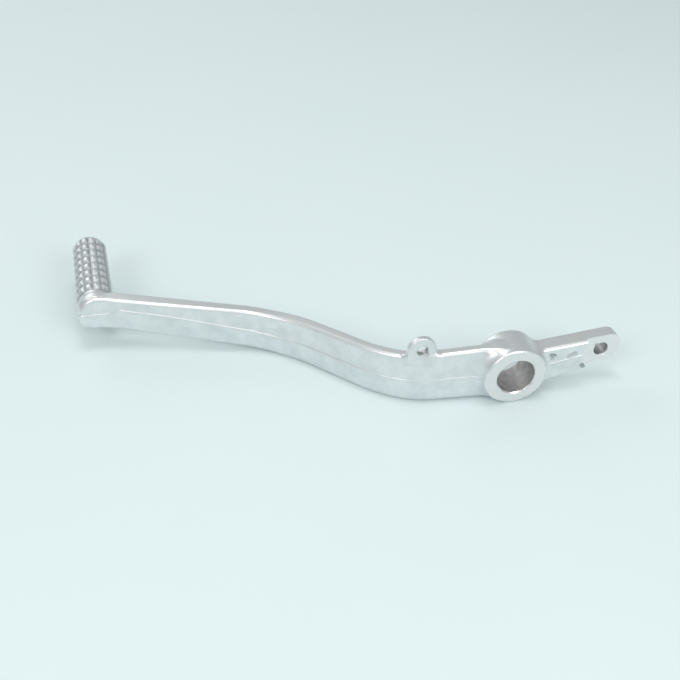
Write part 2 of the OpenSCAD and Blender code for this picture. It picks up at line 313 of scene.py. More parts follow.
@dataclass(frozen=True)
class FrontArm:
    """The jogged front arm, one drafted section carried along its ridge line."""

    hub: Hub
    # The ridge line in plan: where each stretch ends, how far it splays, how softly they meet.
    toe_reach: float = 174.0
    front_inset: float = 2.9
    root_splay: float = 6.4
    jog_start: float = 50.5
    jog_end: float = 95.0
    jog_offset: float = 49.0
    jog_blend: float = 15.2
    toe_splay: float = 21.0
    toe_square: float = 5.0
    half_chord: float = 0.5
    # The section: its thickness and height, the flanks' draft and the round of the edges.
    thick_root: float = 7.0
    thick_toe: float = 8.0
    height_root: float = 27.0
    height_toe: float = 16.4
    flank_draft: float = 5.0
    edge_round: float = 1.6
    # The underside's fall to the table and rise to the toe, and the ridge's lift over mid-height.
    root_lift: float = 1.0
    root_fall_end: float = 60.0
    rise_start: float = 96.0
    rise_blend: float = 8.0
    toe_rise: float = 11.0
    ridge_lift: float = 3.0
    ridge_climb: float = 55.0
    ridge_drop: float = 12.0
    # The fillet round the hub, and where the arm ends inside it.
    hub_blend: float = 8.0
    blend_lap: float = 2.0
    buried: float = -1.0
    # The toe's end: its wider round and where that grows, its power below, the boss's step in.
    toe_corner: float = 3.0
    corner_from: float = 1.0
    corner_to: float = 7.0
    end_square: float = 5.0
    toe_collar: float = 0.2

    @property
    def toe_radius(self) -> float:
        """Radius of the arm's end, about the peg's axis."""
        return self.height_toe / 2.0

    @property
    def lean(self) -> float:
        """How far a flank leans back for each millimetre from the ridge."""
        return lean_of(self.flank_draft)

    @property
    def peg_z(self) -> float:
        """Height of the peg's axis, half the arm's height over its underside."""
        return float(self.low(np.array(self.toe_reach))) + self.toe_radius

    def ridge_y(self, u: Array) -> Array:
        """Y of the front ridge at the distance u from the pivot: five straight slopes, eased.

        Args:
            u: Distance of each point from the pivot, towards the toe.

        Returns:
            Y of the ridge.
        """
        square_from = self.toe_reach - self.toe_square
        root = self.root_splay / self.jog_start
        jog = self.jog_offset / (self.jog_end - self.jog_start)
        toe = self.toe_splay / (square_from - self.jog_end)
        return (
            self.hub.inner_face
            + self.front_inset
            + root * u
            + (jog - root) * soft_ramp(u, self.jog_start, self.jog_blend)
            + (toe - jog) * soft_ramp(u, self.jog_end, self.jog_blend)
            - toe * soft_ramp(u, square_from, self.toe_square)
        )

    @property
    def toe_y(self) -> float:
        """Y of the front ridge at the peg's axis."""
        return float(self.ridge_y(np.array(self.toe_reach)))

    def heading(self, u: Array) -> Array:
        """Angle of the ridge line in plan, from the slope of a short chord."""
        step = self.half_chord
        return np.arctan2(self.ridge_y(u + step) - self.ridge_y(u - step), 2.0 * step)

    def low(self, u: Array) -> Array:
        """Z of the underside: it falls from the hub to the table, lies flat, then rises.

        Args:
            u: Distance of each point from the pivot, towards the toe.

        Returns:
            Z of the underside.
        """
        fall = self.root_lift / self.root_fall_end
        rise = self.toe_rise / (self.toe_reach - self.rise_start)
        return (
            -self.hub.radius
            + fall * soft_ramp(self.root_fall_end - u, 0.0, self.rise_blend)
            + rise * soft_ramp(u, self.rise_start, self.rise_blend)
        )

    def height(self, u: Array) -> Array:
        """Height of the section, which tapers evenly to the toe."""
        return self.height_root + (self.height_toe - self.height_root) * u / self.toe_reach

    def top(self, u: Array) -> Array:
        """Z of the upper side: the underside and the height together."""
        return self.low(u) + self.height(u)

    def ridge_z(self, u: Array) -> Array:
        """Z of the ridge: mid-height, lifted towards the toe, then down to the peg's axis.

        Args:
            u: Distance of each point from the pivot, towards the toe.

        Returns:
            Z of the ridge.
        """
        lifted = (self.low(u) + self.top(u)) / 2.0 + self.ridge_lift * soft_step(
            u, self.jog_end, self.jog_end + self.ridge_climb
        )
        down = soft_step(u, self.toe_reach - self.ridge_drop, self.toe_reach - self.toe_square)
        return lifted + (self.peg_z - lifted) * down

    def thickness(self, u: Array) -> Array:
        """Thickness at the ridge, which grows evenly towards the toe."""
        return self.thick_root + (self.thick_toe - self.thick_root) * u / self.toe_reach

    def hub_fillet(self, u: Array, z: Array) -> Array:
        """How far the flank stands out in the fillet round the hub: a round, up to the rim.

        Args:
            u: Distance of each point from the pivot, towards the toe.
            z: Z of each point.

        Returns:
            How far the flank stands out.
        """
        end = self.hub.radius + self.hub_blend - self.blend_lap
        limit = self.ridge_y(u) - self.hub.inner_face - self.hub.rim_round / 2.0
        return np.minimum(round_depth(end - np.hypot(u, z), self.hub_blend), limit)

    def distance(self, x: Array, y: Array, z: Array) -> Array:
        """Signed distance to the arm.

        A point has the distance u from the pivot and the depth d behind the ridge, square to the
        ridge line. The flanks are planes that lean back from the ridge, the upper and lower sides
        are level, and past the peg's axis the outline is a round above and squarer below.

        Args:
            x: X of each point.
            y: Y of each point.
            z: Z of each point.

        Returns:
            The signed distance of each point.
        """
        u = -x
        on_arm = np.clip(u, 0.0, self.toe_reach)
        depth = (y - self.ridge_y(u)) * np.cos(self.heading(u))
        blend = self.hub_fillet(u, z)
        leaning = self.lean * np.abs(z - self.ridge_z(on_arm))
        back = self.thickness(on_arm) + blend / 2.0
        flank = np.maximum(-blend + leaning - depth, depth - back + leaning)
        past = np.maximum(u - self.toe_reach, 0.0)
        level = z - self.peg_z
        power = self.end_square
        square = (past**power + np.abs(level) ** power) ** (1.0 / power)
        toe_end = np.where(level > 0.0, np.hypot(past, level), square) - self.toe_radius
        side = np.maximum(z - self.top(on_arm), self.low(on_arm) - z)
        side = np.where(u > self.toe_reach, toe_end, side)
        growth = soft_step(past, self.corner_from, self.corner_to)
        edge = self.edge_round + (self.toe_corner - self.edge_round) * growth
        return np.maximum(rounded_meet(flank, side, edge), self.buried - u)


@dataclass(frozen=True)
class RearArm:
    """The short rear arm and its milled tongue for the pushrod's clevis."""

    hub: Hub
    # The clevis hole, and the tongue round it.
    clevis_d: float = 6.2
    clevis_x: float = 41.5
    clevis_z: float = 3.4
    tongue_end: float = 8.9
    tongue_height: float = 14.2
    tongue_t: float = 7.2
    tongue_corner: float = 6.0
    tongue_lift: float = 0.1
    # The drafted bar: its height and drop at the hub, and its place along the bore.
    height_root: float = 20.6
    root_drop: float = 2.3
    thickness: float = 9.9
    inset: float = 4.0
    ridge_lift: float = 1.2
    flank_draft: float = 5.0
    edge_round: float = 1.6
    # The end mill's path, and the stretch of X in which its curved step lies.
    cutter_r: float = 14.0
    mill_start: float = 9.2
    cutter_over: float = 2.0
    step_span: tuple[float, float] = (20.0, 40.0)
    mill_steps: int = 160
    hole_steps: int = 96

    @property
    def front(self) -> float:
        """Y of the front ridge."""
        return self.hub.inner_face + self.inset

    @property
    def back(self) -> float:
        """Y of the back ridge."""
        return self.front + self.thickness

    @property
    def milled_y(self) -> float:
        """Y of the milled face of the tongue."""
        return self.back - self.tongue_t

    @property
    def mill_x(self) -> float:
        """X of the middle of the end mill's round path."""
        return self.clevis_x - self.mill_start + self.cutter_r

    @property
    def root_x(self) -> float:
        """X at which the bar begins, inside the hub."""
        return self.hub.radius / 3.0

    def ridge_z(self, x: Array) -> Array:
        """Z of the ridge at the distance x from the pivot: a straight line, over mid-height."""
        rise = self.clevis_z + self.tongue_lift + self.root_drop
        return self.ridge_lift - self.root_drop + rise * x / self.clevis_x

    def distance(self, x: Array, y: Array, z: Array) -> Array:
        """Signed distance to the arm before milling: a tapered, drafted bar with a round end.

        Args:
            x: X of each point.
            y: Y of each point.
            z: Z of each point.

        Returns:
            The signed distance of each point.
        """
        share = x / self.clevis_x
        middle = self.ridge_z(x) - self.ridge_lift
        half = (self.height_root + (self.tongue_height - self.height_root) * share) / 2.0
        leaning = lean_of(self.flank_draft) * np.abs(z - self.ridge_z(x))
        flank = np.maximum(self.front + leaning - y, y - self.back + leaning)
        tip = x - self.clevis_x - self.tongue_end
        outline = rounded_meet(np.abs(z - middle) - half, tip, self.tongue_corner)
        return np.maximum(rounded_meet(flank, outline, self.edge_round), self.root_x - x)

    def milling_cutter(self) -> Surface:
        """The end mill's round path in front of the tongue, which leaves a curved step.

        Returns:
            The closed cutter.
        """
        ends = (self.hub.inner_face - self.cutter_over, self.milled_y)
        profile = np.array([[self.cutter_r, end] for end in ends])
        return turned_about_y(profile, (self.mill_x, self.clevis_z), self.mill_steps)

    def clevis_cutter(self) -> Surface:
        """The hole for the clevis pin, with a fine chamfer at both mouths.

        Returns:
            The closed plug.
        """
        faces = (self.milled_y, self.back)
        centre = (self.clevis_x, self.clevis_z)
        return chamfered_plug(self.clevis_d / 2.0, MOUTH_CHAMFER, faces, centre, self.hole_steps)


@dataclass(frozen=True)
class SpringLug:
    """The round ear on the top of the front arm that the return spring hooks into."""

    arm: FrontArm
    hole_d: float = 4.5
    x: float = 40.0
    rise: float = 3.3
    wall: float = 4.0
    thickness: float = 2.8
    edge: float = 0.6
    sunk: float = 3.0
    # Keeps the top of the lug inside the CAD model's box.
    trim: float = 0.02
    hole_steps: int = 72

    @property
    def centre(self) -> Point:
        """Middle of the hole: over the arm's top, with the lug's front on the arm's front edge."""
        u = np.array(self.x)
        top = float(self.arm.top(u))
        front = float(self.arm.ridge_y(u)) + self.arm.lean * (top - float(self.arm.ridge_z(u)))
        return -self.x, front + self.thickness / 2.0, top + self.rise

    def distance(self, x: Array, y: Array, z: Array) -> Array:
        """Signed distance to the lug: a round over a stem of its width, cut from a thin slab.

        Args:
            x: X of each point.
            y: Y of each point.
            z: Z of each point.

        Returns:
            The signed distance of each point.
        """
        cx, cy, cz = self.centre
        radius = self.hole_d / 2.0 + self.wall - self.trim
        across = x - cx
        over = z - cz
        stem = np.maximum(np.abs(across) - radius, np.maximum(over, -self.rise - self.sunk - over))
        outline = np.minimum(np.hypot(across, over) - radius, stem)
        return rounded_meet(outline, np.abs(y - cy) - self.thickness / 2.0, self.edge)

    def hole_cutter(self) -> Surface:
        """The hole through the lug, slightly countersunk by the casting's clean-up.

        Returns:
            The closed plug.
        """
        cx, cy, cz = self.centre
        faces = (cy - self.thickness / 2.0, cy + self.thickness / 2.0)
        return chamfered_plug(self.hole_d / 2.0, MOUTH_CHAMFER, faces, (cx, cz), self.hole_steps)


@dataclass(frozen=True)
class ToePeg:
    """The toe peg: a plain boss at the arm, then rows of flat-topped pyramids to the tip.

    The cuts are the shares of a stud's width at which the net has a line. Each row of the tip is
    a ring's distance below the tip and how far it lies inside the root radius.
    """

    arm: FrontArm
    # The bar over its studs, its draft and lean, and how far bar and boss reach into the arm.
    diameter: float = 16.8
    draft: float = 0.5
    forward_lean: float = 1.6
    tip: float = 129.5
    plain: float = 1.5
    foot_sunk: float = 0.7
    bar_sunk: float = 1.2
    # The studs: rows along the bar, number in each half round it, and the two plain strips.
    rows: int = 8
    studs_half: int = 6
    stud_height: float = 0.9
    stud_top: float = 0.3
    soft: float = 0.16
    strip_w: float = 1.4
    strip_steps: int = 4
    cuts: tuple[float, ...] = (
        *(0.0, 0.05, 0.12, 0.22, 0.3, 0.35, 0.42),
        *(0.58, 0.65, 0.7, 0.78, 0.88, 0.95),
    )
    # The plain tip, its rounded edge and the share by which it is darkened and made rougher.
    tip_plain: float = 0.8
    tip_recess: float = 0.3
    tip_rows: tuple[tuple[float, float], ...] = ((0.8, 0.0), (0.45, 0.05), (0.15, 0.3), (0.0, 0.7))

    @property
    def radius(self) -> float:
        """Radius over the studs at the tip."""
        return self.diameter / 2.0

    @property
    def foot(self) -> float:
        """Y at which the boss begins, inside the arm."""
        return self.arm.toe_y + self.arm.toe_corner + self.foot_sunk

    @property
    def stud_from(self) -> float:
        """Y at which the studs begin."""
        return self.arm.toe_y + self.arm.thick_toe + self.plain

    def boss_distance(self, x: Array, y: Array, z: Array) -> Array:
        """Signed distance to the plain boss: a round bar between two flats.

        Args:
            x: X of each point.
            y: Y of each point.
            z: Z of each point.

        Returns:
            The signed distance of each point.
        """
        boss_radius = self.arm.toe_radius - self.arm.toe_collar
        across = np.hypot(x + self.arm.toe_reach, z - self.arm.peg_z) - boss_radius
        return np.maximum(across, np.maximum(self.foot - y, y - self.stud_from))

    def axis_x(self, y: Array) -> Array:
        """X of the bar's axis, which leans forwards from the boss."""
        return -self.arm.toe_reach - lean_of(self.forward_lean) * (y - self.stud_from)

    def recess(self, points: Array) -> Array:
        """Depth of each point below the stud tops, as a share of the studs' height.

        Args:
            points: Rows of X, Y and Z in millimetres.

        Returns:
            0 at the stud tops, 1 at their roots.
        """
        x, y, z = points.T
        over = self.radius + lean_of(self.draft) * (self.tip - y)
        depth = over - np.hypot(x - self.axis_x(y), z - self.arm.peg_z)
        share = np.clip(depth / self.stud_height, 0.0, 1.0)
        return np.where(y < self.tip - self.tip_plain, share, self.tip_recess)

    def studs(self) -> Surface:
        """Builds the studded bar.

        The radius is the root radius, plus the stud height times the softened minimum of two
        trapezium waves, one round the bar and one along it. The two strips where the mould parts
        stay plain.

        Returns:
            The closed surface of the bar, from inside the boss to the rounded tip.
        """
        cuts = np.array(self.cuts)
        slope = (1.0 - self.stud_top) / 2.0
        wave = np.clip(np.minimum(cuts, 1.0 - cuts) / slope, 0.0, 1.0)
        strip = math.asin(self.strip_w / 2.0 / self.radius)
        span = (math.pi - 2.0 * strip) / self.studs_half
        studded = strip + span * (np.arange(self.studs_half)[:, None] + cuts).ravel()
        plain = np.linspace(math.pi - strip, math.pi + strip, self.strip_steps, endpoint=False)
        angles = np.concatenate([studded, plain, studded + math.pi, plain + math.pi])
        half_round = np.concatenate([np.tile(wave, self.studs_half), np.zeros(self.strip_steps)])
        around = np.tile(half_round, 2)
        pitch = (self.tip - self.tip_plain - self.stud_from) / self.rows
        along = self.stud_from + pitch * (np.arange(self.rows)[:, None] + cuts).ravel()
        rise = np.tile(wave, self.rows)[:, None]
        softening = np.maximum(self.soft - np.abs(around - rise), 0.0) ** 2 / (4.0 * self.soft)
        height = np.clip(np.minimum(around, rise) - softening, 0.0, 1.0)
        below, inside = np.array(self.tip_rows).T
        y = np.concatenate([[self.stud_from - self.bar_sunk], along, self.tip - below])
        over_root = np.concatenate(
            [
                np.zeros((1, len(angles))),
                self.stud_height * height,
                np.tile(-inside[:, None], (1, len(angles))),
            ]
        )
        root = self.radius - self.stud_height
        radius = root + over_root + lean_of(self.draft) * (self.tip - y[:, None])
        return rings_round(rows_of(self.axis_x(y), y, self.arm.peg_z), ALONG_X, radius, angles)


@dataclass(frozen=True)
class Mark:
    """A small dent in the casting: the path of a ball that is pressed in to a depth."""

    start: Point
    end: Point
    radius: float
    depth: float
    # How much the dent is darkened as painted shade, and made rougher.
    dull: float = 1.0

    def distance(self, points: Array) -> Array:
        """Signed distance to the ball's path, whose middle line stands off the surface.

        Args:
            points: Rows of X, Y and Z in millimetres.

        Returns:
            The signed distance of each point.
        """
        lift = (self.radius - self.depth) * ALONG_Y
        start = np.array(self.start) - lift
        along = np.array(self.end) - lift - start
        share = np.clip((points - start) @ along / max(along @ along, TINY), 0.0, 1.0)
        return np.linalg.norm(points - start - share[:, None] * along, axis=1) - self.radius


@dataclass(frozen=True)
class Net:
    """A grid of cubes in which a signed distance is turned into a skin of quads."""

    low: Point
    high: Point
    pitch: float
    layers: int = 24

    def _sampled(self, distance: Callable[[Array], Array]) -> NDArray[np.float32]:
        """The signed distance at every corner of the grid, taken a few layers at a time.

        Args:
            distance: Gives the signed distance of rows of X, Y and Z.

        Returns:
            The distances, on a grid of X, Y and Z.
        """
        axes = [np.arange(a, b + self.pitch, self.pitch) for a, b in zip(self.low, self.high)]
        value = np.empty([len(axis) for axis in axes], dtype=np.float32)
        for start in range(0, len(axes[0]), self.layers):
            some = slice(start, start + self.layers)
            part = np.stack(np.meshgrid(axes[0][some], *axes[1:], indexing="ij"), axis=-1)
            value[some] = distance(part.reshape(-1, 3)).reshape(part.shape[:3])
        return value

    def _points(self, value: NDArray[np.float32], at: Indices) -> Array:
        """Finds the mean of where the edges of each cube are cut.

        Args:
            value: Signed distance at the grid's corners.
            at: Lowest corner of each cube that the surface passes through.

        Returns:
            A point for each of those cubes.
        """
        total = np.zeros((len(at), 3))
        count = np.zeros(len(at))
        steps = np.eye(3, dtype=np.int64)
        for axis, step in enumerate(steps):
            others = np.delete(steps, axis, axis=0)
            for a, b in np.ndindex(2, 2):
                corner = at + a * others[0] + b * others[1]
                near = value[tuple(corner.T)]
                far = value[tuple((corner + step).T)]
                cut = (near < 0.0) != (far < 0.0)
                share = np.where(cut, near / np.where(cut, near - far, 1.0), 0.0)
                total += np.where(cut[:, None], corner + share[:, None] * step, 0.0)
                count += cut
        return np.array(self.low) + self.pitch * total / count[:, None]

    def _quads(self, inside: NDArray[np.bool_], number: Indices) -> Indices:
        """Joins the four cubes round each edge of the grid that the surface cuts.

        Args:
            inside: Whether each corner of the grid is in the metal.
            number: Number of each cube's point.

        Returns:
            A quad for each cut edge, with its face outwards.
        """
        steps = np.eye(3, dtype=np.int64)
        quads = []
        for axis, step in enumerate(steps):
            p, q = steps[(axis + 1) % 3], steps[(axis + 2) % 3]
            here = np.argwhere(np.diff(inside.astype(np.int8), axis=axis) != 0)
            goes_in = inside[tuple((here + step).T)]
            ring = [number[tuple(cell.T)] for cell in (here - p - q, here - q, here, here - p)]
            face = np.stack(ring, axis=-1)
            quads.append(np.where(goes_in[:, None], face[:, ::-1], face))
        return np.concatenate(quads)

    def skin(self, distance: Callable[[Array], Array]) -> Surface:
        """Builds the skin as a surface net.

        Each cube that the surface passes through gets one point, the mean of where its edges are
        cut, and each cut edge becomes a quad between the four cubes round it.

        Args:
            distance: Gives the signed distance of rows of X, Y and Z, negative in the metal.

        Returns:
            The closed skin, with its faces outwards.
        """
        value = self._sampled(distance)
        inside = value < 0.0
        cells = tuple(count - 1 for count in value.shape)
        corners = np.zeros(cells, dtype=np.int8)
        for i, j, k in np.ndindex(2, 2, 2):
            corners += inside[i : i + cells[0], j : j + cells[1], k : k + cells[2]]
        at = np.argwhere((corners > 0) & (corners < 8))
        number = np.full(cells, -1, dtype=np.int64)
        number[tuple(at.T)] = np.arange(len(at))
        return Surface(self._points(value, at), self._quads(inside, number))


def read_rows(
    items: bpy.types.bpy_prop_collection, name: str, width: int = 1, kind: type = np.float64
) -> NDArray:
    """Reads one property of all of a mesh's points, corners or faces.

    Args:
        items: The mesh's points, corners or faces.
        name: The property's name.
        width: How many numbers it has.
        kind: The numbers' type.

    Returns:
        A row for each item, or a plain list of numbers where the width is 1.
    """
    values = np.empty(len(items) * width, dtype=kind)
    items.foreach_get(name, values)
    return values if width == 1 else values.reshape(-1, width)


@dataclass
class Casting:
    """The whole pedal: five forms joined with cast fillets, then machined, then dressed.

    The spans in which a fillet or the bead grows are distances from the pivot towards the toe. A
    face whose normal has more than the flat share along Y is an end or a milled face, and one
    with less than the steep share is a wall. A face lies on a tool's wall or plane when it is
    nearer than the touch, or than the end's or the path's own touch.
    """

    hub: Hub = field(default_factory=Hub)
    arm: FrontArm = field(init=False)
    rear: RearArm = field(init=False)
    lug: SpringLug = field(init=False)
    peg: ToePeg = field(init=False)
    # The fillets between the hub, the arms, the lug and the boss.
    root_fillet: float = 3.4
    root_fillet_span: tuple[float, float] = (2.0, 9.0)
    least_fillet: float = 0.05
    rear_fillet: float = 3.0
    lug_fillet: float = 3.4
    boss_fillet: float = 1.6
    # The parting bead: its radius, its turn round the toe, its stations and where they start.
    bead_root: float = 0.32
    bead_toe: float = 0.56
    bead_span: tuple[float, float] = (42.0, 78.0)
    bead_least: float = 0.02
    bead_turn: float = 84.0
    bead_stations: int = 420
    bead_turn_stations: int = 60
    bead_rear_stations: int = 70
    bead_points: int = 10
    bead_gap: float = 0.5
    fan_sunk: float = 1.0
    stand_off: float = 8.0
    rear_stand_off: float = 3.0
    marks: tuple[Mark, ...] = (
        # The dimple, the shallow dash and the dark nick on the rear arm; the nick's dark colour is
        # painted shadow on the lower wall of the milled step.
        Mark((17.1, -3.7, 5.9), (18.7, -3.7, 5.2), 0.8, 0.5),
        Mark((17.7, -3.7, 4.1), (17.9, -3.7, 5.2), 0.7, 0.4, 0.8),
        Mark((25.6, -3.75, 4.2), (28.0, -3.7, 5.0), 1.8, 0.14, 0.55),
        Mark((32.4, -3.5, -2.4), (33.8, -3.3, -3.9), 0.8, 0.6),
        # Chips at the mouths of the bore, the clevis hole and the lug's hole; those with a dull
        # share over 0 are darkened as painted shade.
        Mark((5.3, -8.0, -6.9), (6.0, -8.0, -6.5), 0.8, 0.35, 0.0),
        Mark((0.0, -8.0, -8.7), (0.6, -8.0, -8.7), 0.5, 0.3, 0.0),
        Mark((39.0, -1.3, 6.0), (39.4, -1.3, 5.9), 1.0, 0.5, 0.6),
        Mark((42.6, -1.3, 0.4), (43.2, -1.3, 0.8), 0.9, 0.4, 0.0),
        Mark((-41.6, 0.9, 16.2), (-40.6, 0.9, 16.6), 0.8, 0.4, 0.2),
        Mark((-38.2, 0.9, 12.4), (-38.0, 0.9, 13.2), 0.9, 0.5, 0.9),
        # Two faint dents on the front arm, slightly darkened as painted shade.
        Mark((-69.0, 18.6, -6.0), (-68.0, 17.6, -6.2), 0.8, 0.2, 0.3),
        Mark((-23.0, -3.4, 3.0), (-22.6, -3.4, 3.3), 0.8, 0.2, 0.3),
    )
    # The net: its pitch, how far it stands out past the casting, and the steps on to the skin.
    pitch: float = 0.5
    net_margin: float = 1.5
    net_margin_y: float = 1.2
    net_z: tuple[float, float] = (-15.4, 21.6)
    slope_step: float = 0.02
    least_slope: float = 0.25
    # How the faces are told apart and shaded.
    sharp_angle: float = 32.0
    flat_share: float = 0.9
    milled_share: float = 0.99
    steep_share: float = 0.2
    touch: float = 0.02
    end_touch: float = 0.06
    path_touch: float = 0.05
    mouth_depth: float = 0.3
    boss_end_lap: float = 0.4
    bar_lap: float = 0.1
    shade_and_dull_reach: float = 0.4

    def __post_init__(self) -> None:
        """Makes the forms that hang on the hub and on the arm."""
        self.arm = FrontArm(self.hub)
        self.rear = RearArm(self.hub)
        self.lug = SpringLug(self.arm)
        self.peg = ToePeg(self.arm)

    def distance(self, points: Array) -> Array:
        """Signed distance to the casting as it leaves the mould, with both hub ends cut flat.

        Args:
            points: Rows of X, Y and Z in millimetres.

        Returns:
            The signed distance of each row, negative inside the metal.
        """
        x, y, z = points.T
        root_reach = self.root_fillet * soft_step(-x, *self.root_fillet_span) + self.least_fillet
        body = filleted_join(self.hub.distance(x, y, z), self.arm.distance(x, y, z), root_reach)
        for form, fillet in (
            (self.rear.distance, self.rear_fillet),
            (self.lug.distance, self.lug_fillet),
            (self.peg.boss_distance, self.boss_fillet),
        ):
            body = filleted_join(body, form(x, y, z), fillet)
        half = self.hub.half
        outer_cut = np.where(x > -self.hub.diameter, y - half, -half)
        body = np.maximum(body, np.maximum(-half - y, outer_cut))
        for mark in self.marks:
            body = np.maximum(body, -mark.distance(points))
        return body

    def _slope(self, points: Array) -> Array:
        """Slope of the signed distance at each point, from differences over a small step.

        Args:
            points: Rows of X, Y and Z in millimetres.

        Returns:
            The slope's parts along X, Y and Z.
        """
        step = self.slope_step
        shifts = np.eye(3) * step
        sides = [self.distance(points + shift) - self.distance(points - shift) for shift in shifts]
        return np.stack(sides, axis=-1) / (2.0 * step)

    def _normal(self, points: Array) -> Array:
        """Outward unit direction at each point: the slope over its own length."""
        slope = self._slope(points)
        return slope / np.maximum(np.linalg.norm(slope, axis=1, keepdims=True), TINY)

    def _on_surface(self, points: Array, rounds: int = 3) -> Array:
        """Moves points on to the surface by Newton's rule, p - f g / |g|^2, with the slope g.

        Args:
            points: Rows of X, Y and Z in millimetres.
            rounds: How often it is done.

        Returns:
            The moved points.
        """
        for _ in range(rounds):
            value = self.distance(points)
            slope = self._slope(points)
            size = np.maximum((slope**2).sum(axis=1), self.least_slope)
            move = np.clip(value / size, -self.pitch, self.pitch)
            points = points - slope * move[:, None]
        return points

    def _evened(self, points: Array, quads: Indices, rounds: int = 4) -> Array:
        """Evens out the net: each point goes half-way to its neighbours' mean, in the surface.

        Args:
            points: Rows of X, Y and Z in millimetres.
            quads: The net's faces.
            rounds: How often it is done.

        Returns:
            The moved points.
        """
        pairs = np.concatenate([quads[:, [side, (side + 1) % 4]] for side in range(4)])
        own, other = pairs.T
        near = np.maximum(np.bincount(own, minlength=len(points)), 1)
        for _ in range(rounds):
            total = [np.bincount(own, points[other, axis], len(points)) for axis in range(3)]
            move = 0.5 * (np.stack(total, axis=-1) / near[:, None] - points)
            normal = self._normal(points)
            move -= normal * (move * normal).sum(axis=1, keepdims=True)
            points = self._on_surface(points + move, 1)
        return points

    def skin(self) -> Surface:
        """Builds the skin from a net round the whole casting, and moves it on to the surface.

        Returns:
            The closed skin, with its faces outwards.
        """
        toe_end = -self.arm.toe_reach - self.arm.toe_radius
        tongue_end = self.rear.clevis_x + self.rear.tongue_end
        low_z, high_z = self.net_z
        rough = Net(
            (toe_end - self.net_margin, self.hub.inner_face - self.net_margin_y, low_z),
            (tongue_end + self.net_margin, self.peg.stud_from + self.net_margin_y, high_z),
            self.pitch,
        ).skin(self.distance)
        points = self._evened(self._on_surface(rough.points), rough.quads)
        return Surface(self._on_surface(points), rough.quads)

    def _cut(self, body: bpy.types.Object, cutters: list[Surface]) -> bpy.types.Mesh:
        """Machines the casting: takes all the cutters out of it in one exact step.

        Args:
            body: The object that holds the skin.
            cutters: Closed surfaces that don't meet each other.

        Returns:
            The machined mesh.
        """
        tool = cutters[0]
        for other in cutters[1:]:
            tool = tool.joined(other)
        cutter = bpy.data.objects.new("cutters", tool.to_mesh("cutters"))
        bpy.context.collection.objects.link(cutter)
        cut = body.modifiers.new("machining", "BOOLEAN")
        cut.operation, cut.solver, cut.object = "DIFFERENCE", "EXACT", cutter
        bpy.context.view_layer.update()
        depsgraph = bpy.context.evaluated_depsgraph_get()
        mesh = bpy.data.meshes.new_from_object(body.evaluated_get(depsgraph))
        body.modifiers.clear()
        bpy.data.objects.remove(cutter)
        return mesh

    def _met_from(self, start: Array, way: Array, rounds: int = 40) -> Array:
        """Moves each point along its way by its signed distance, again and again, to the skin.

        Args:
            start: Rows of X, Y and Z, in front of the skin.
            way: Unit direction in which each point goes.
            rounds: How often it is done.

        Returns:
            The points where they meet the skin.
        """
        for _ in range(rounds):
            start = start + way * self.distance(start)[:, None]
        return start

    def _bead(self, centre: Array, across: Array, radius: Array) -> Surface:
        """Builds a round bead along a line of centres.

        Args:
            centre: Rows of X, Y and Z along the line.
            across: Level unit direction into the casting, for each row.
            radius: Radius at each row.

        Returns:
            The closed surface.
        """
        angle = np.linspace(0.0, math.tau, self.bead_points, endpoint=False)
        return rings_round(centre, across, radius[:, None], angle)

    def _front_bead(self) -> Surface:
        """The front arm's bead: along the ridge, then in a fan that turns round the toe.

        Returns:
            The closed bead.
        """
        arm = self.arm
        u = np.linspace(self.hub.radius + self.bead_gap, arm.toe_reach, self.bead_stations)
        heading = arm.heading(u)
        rest = math.radians(self.bead_turn) - heading[-1]
        turn = heading[-1] + rest * np.linspace(0.0, 1.0, self.bead_turn_stations + 1)[1:]
        across = rows_of(np.sin(heading), np.cos(heading), 0.0)
        fan = rows_of(np.sin(turn), np.cos(turn), 0.0)
        ridge = rows_of(-u, arm.ridge_y(u), arm.ridge_z(u))
        middle = ridge[-1] + (arm.toe_corner + self.fan_sunk) * across[-1]
        round_toe = middle - (arm.toe_radius + self.stand_off) * fan
        start = np.concatenate([ridge - self.stand_off * across, round_toe])
        way = np.concatenate([across, fan])
        centre = self._met_from(start, way)
        growth = soft_step(-centre[:, 0], *self.bead_span)
        radius = self.bead_root + (self.bead_toe - self.bead_root) * growth
        inside_box = centre[:, 0] + arm.toe_reach + arm.toe_radius
        return self._bead(centre, way, np.clip(inside_box, self.bead_least, radius))

    def parting_bead(self) -> Surface:
        """Builds the thin witness of the mould's parting line on the front flanks of both arms.

        Returns:
            Two closed beads, whose centres lie on the casting's skin.
        """
        rear = self.rear
        x = np.linspace(rear.clevis_x - rear.mill_start, self.hub.radius, self.bead_rear_stations)
        way = np.tile(ALONG_Y, (len(x), 1))
        centre = self._met_from(rows_of(x, rear.front - self.rear_stand_off, rear.ridge_z(x)), way)
        return self._front_bead().joined(self._bead(centre, way, np.full_like(x, self.bead_root)))

